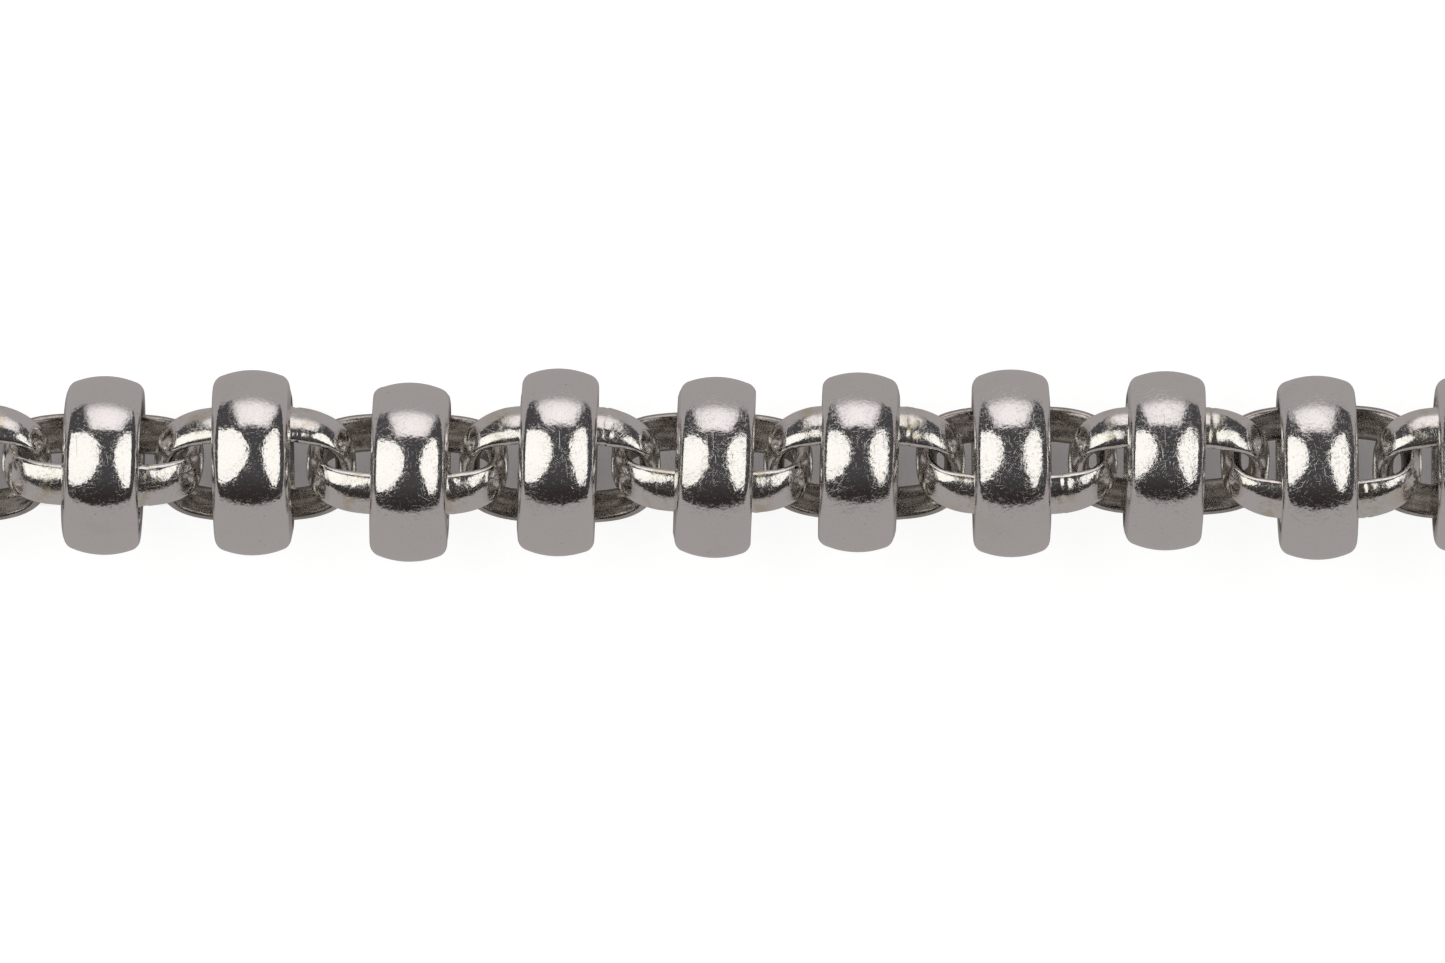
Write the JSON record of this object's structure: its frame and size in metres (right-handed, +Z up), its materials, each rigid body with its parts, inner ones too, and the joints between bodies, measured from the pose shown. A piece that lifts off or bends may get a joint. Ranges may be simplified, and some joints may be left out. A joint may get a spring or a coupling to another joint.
{
  "type": "jewellery roller chain",
  "caption": "Straight run of polished metal roller chain: oval wire links, each turned from the next, each carrying a loose domed ring round its waist.",
  "frame": {"origin": "middle of the run, on the surface that the chain lies on", "axes": "+X along the chain, from link_01 to link_11; +Z up, away from the surface"},
  "size_m": [0.0562, 0.0062, 0.0061],
  "materials": {
    "link_metal": "polished wire with faint draw lines and slight yellow tarnish near the rollers",
    "roller_metal": "hand polished, fine scratches"
  },
  "bodies": {
    "link_01": {"link_01": "link_metal"},
    "link_02": {"link_02": "link_metal"},
    "link_03": {"link_03": "link_metal"},
    "link_04": {"link_04": "link_metal"},
    "link_05": {"link_05": "link_metal"},
    "link_06": {"link_06": "link_metal"},
    "link_07": {"link_07": "link_metal"},
    "link_08": {"link_08": "link_metal"},
    "link_09": {"link_09": "link_metal"},
    "link_10": {"link_10": "link_metal"},
    "link_11": {"link_11": "link_metal"},
    "roller_01": {"roller_01": "roller_metal"},
    "roller_02": {"roller_02": "roller_metal"},
    "roller_03": {"roller_03": "roller_metal"},
    "roller_04": {"roller_04": "roller_metal"},
    "roller_05": {"roller_05": "roller_metal"},
    "roller_06": {"roller_06": "roller_metal"},
    "roller_07": {"roller_07": "roller_metal"},
    "roller_08": {"roller_08": "roller_metal"},
    "roller_09": {"roller_09": "roller_metal"},
    "roller_10": {"roller_10": "roller_metal"},
    "roller_11": {"roller_11": "roller_metal"}
  },
  "joints": [
    {"name": "link_02_swing", "type": "hinge", "parent": "link_01", "child": "link_02", "pos_m": [-0.0211, 0.0002, 0.00313], "axis": [-0.0121, -0.8659, -0.5], "range_deg": [-40, 40]},
    {"name": "link_03_swing", "type": "hinge", "parent": "link_02", "child": "link_03", "pos_m": [-0.01613, 0.00001, 0.00307], "axis": [0.0039, -0.6428, 0.766], "range_deg": [-40, 40]},
    {"name": "link_04_swing", "type": "hinge", "parent": "link_03", "child": "link_04", "pos_m": [-0.01116, 0.00007, 0.00319], "axis": [-0.0078, -0.809, -0.5878], "range_deg": [-40, 40]},
    {"name": "link_05_swing", "type": "hinge", "parent": "link_04", "child": "link_05", "pos_m": [-0.00619, -0.00001, 0.00307], "axis": [-0.0099, -0.6292, 0.7771], "range_deg": [-40, 40]},
    {"name": "link_06_swing", "type": "hinge", "parent": "link_05", "child": "link_06", "pos_m": [-0.00122, 0.00013, 0.00313], "axis": [-0.0157, -0.819, -0.5736], "range_deg": [-40, 40]},
    {"name": "link_07_swing", "type": "hinge", "parent": "link_06", "child": "link_07", "pos_m": [0.00375, 0.00005, 0.00307], "axis": [-0.0105, -0.669, 0.7431], "range_deg": [-40, 40]},
    {"name": "link_08_swing", "type": "hinge", "parent": "link_07", "child": "link_08", "pos_m": [0.00872, 0.00018, 0.00319], "axis": [0.0032, -0.7373, -0.6756], "range_deg": [-40, 40]},
    {"name": "link_09_swing", "type": "hinge", "parent": "link_08", "child": "link_09", "pos_m": [0.01369, 0.00011, 0.00307], "axis": [-0.0091, -0.7431, 0.6691], "range_deg": [-40, 40]},
    {"name": "link_10_swing", "type": "hinge", "parent": "link_09", "child": "link_10", "pos_m": [0.01866, 0.00012, 0.00317], "axis": [0.0058, -0.6691, -0.7431], "range_deg": [-40, 40]},
    {"name": "link_11_swing", "type": "hinge", "parent": "link_10", "child": "link_11", "pos_m": [0.02363, 0.00002, 0.00307], "axis": [-0.003, -0.6947, 0.7193], "range_deg": [-40, 40]},
    {"name": "roller_01_spin", "type": "hinge", "parent": "link_01", "child": "roller_01", "pos_m": [-0.02485, 0.00002, 0.00307], "axis": [1, 0.0087, 0], "continuous": true},
    {"name": "roller_02_spin", "type": "hinge", "parent": "link_02", "child": "roller_02", "pos_m": [-0.0199, -0.00002, 0.00307], "axis": [0.9996, -0.0279, 0], "continuous": true},
    {"name": "roller_03_spin", "type": "hinge", "parent": "link_03", "child": "roller_03", "pos_m": [-0.01494, 0.00006, 0.00307], "axis": [0.9999, 0.0122, 0], "continuous": true},
    {"name": "roller_04_spin", "type": "hinge", "parent": "link_04", "child": "roller_04", "pos_m": [-0.00982, -0.00013, 0.00307], "axis": [0.9998, -0.0192, 0], "continuous": true},
    {"name": "roller_05_spin", "type": "hinge", "parent": "link_05", "child": "roller_05", "pos_m": [-0.00506, 0.00002, 0.00307], "axis": [0.9995, -0.0314, 0], "continuous": true},
    {"name": "roller_06_spin", "type": "hinge", "parent": "link_06", "child": "roller_06", "pos_m": [0.00004, -0.00003, 0.00307], "axis": [0.9993, -0.0384, 0], "continuous": true},
    {"name": "roller_07_spin", "type": "hinge", "parent": "link_07", "child": "roller_07", "pos_m": [0.00483, 0.00007, 0.00307], "axis": [0.9995, -0.0314, 0], "continuous": true},
    {"name": "roller_08_spin", "type": "hinge", "parent": "link_08", "child": "roller_08", "pos_m": [0.00979, 0.00006, 0.00307], "axis": [1, 0.0087, 0], "continuous": true},
    {"name": "roller_09_spin", "type": "hinge", "parent": "link_09", "child": "roller_09", "pos_m": [0.01473, 0.00013, 0.00307], "axis": [0.9997, -0.0244, 0], "continuous": true},
    {"name": "roller_10_spin", "type": "hinge", "parent": "link_10", "child": "roller_10", "pos_m": [0.01977, -0.00001, 0.00307], "axis": [0.9998, 0.0175, 0], "continuous": true},
    {"name": "roller_11_spin", "type": "hinge", "parent": "link_11", "child": "roller_11", "pos_m": [0.02485, 0.00002, 0.00307], "axis": [1, -0.0087, 0], "continuous": true}
  ]
}
